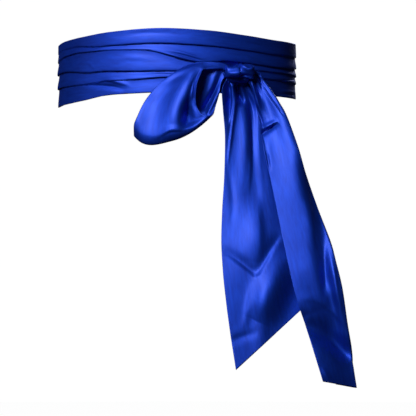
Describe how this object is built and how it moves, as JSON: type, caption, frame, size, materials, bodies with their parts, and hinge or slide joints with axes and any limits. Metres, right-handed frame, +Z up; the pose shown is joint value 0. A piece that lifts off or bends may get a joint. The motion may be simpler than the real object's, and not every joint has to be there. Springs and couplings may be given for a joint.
{
  "type": "satin sash",
  "caption": "Pleated satin waist sash worn as an open ring and tied at one side of the front in a half bow, with a knot, a drooping loop and two hanging tails cut on a slant.",
  "frame": {"origin": "centre of the waist that the band is wound round, at the middle of the band's front", "axes": "+Z up along the wearer's body, front towards -Y, +X towards a viewer's right as they face the front, which is where the knot sits"},
  "size_m": [0.3388, 0.2635, 0.4038],
  "materials": {
    "satin": "royal blue satin with a soft sheen"
  },
  "bodies": {
    "root": {"waist_band": "satin", "knot": "satin", "bow_loop": "satin", "straight_tail": "satin", "side_tail": "satin"}
  },
  "joints": []
}
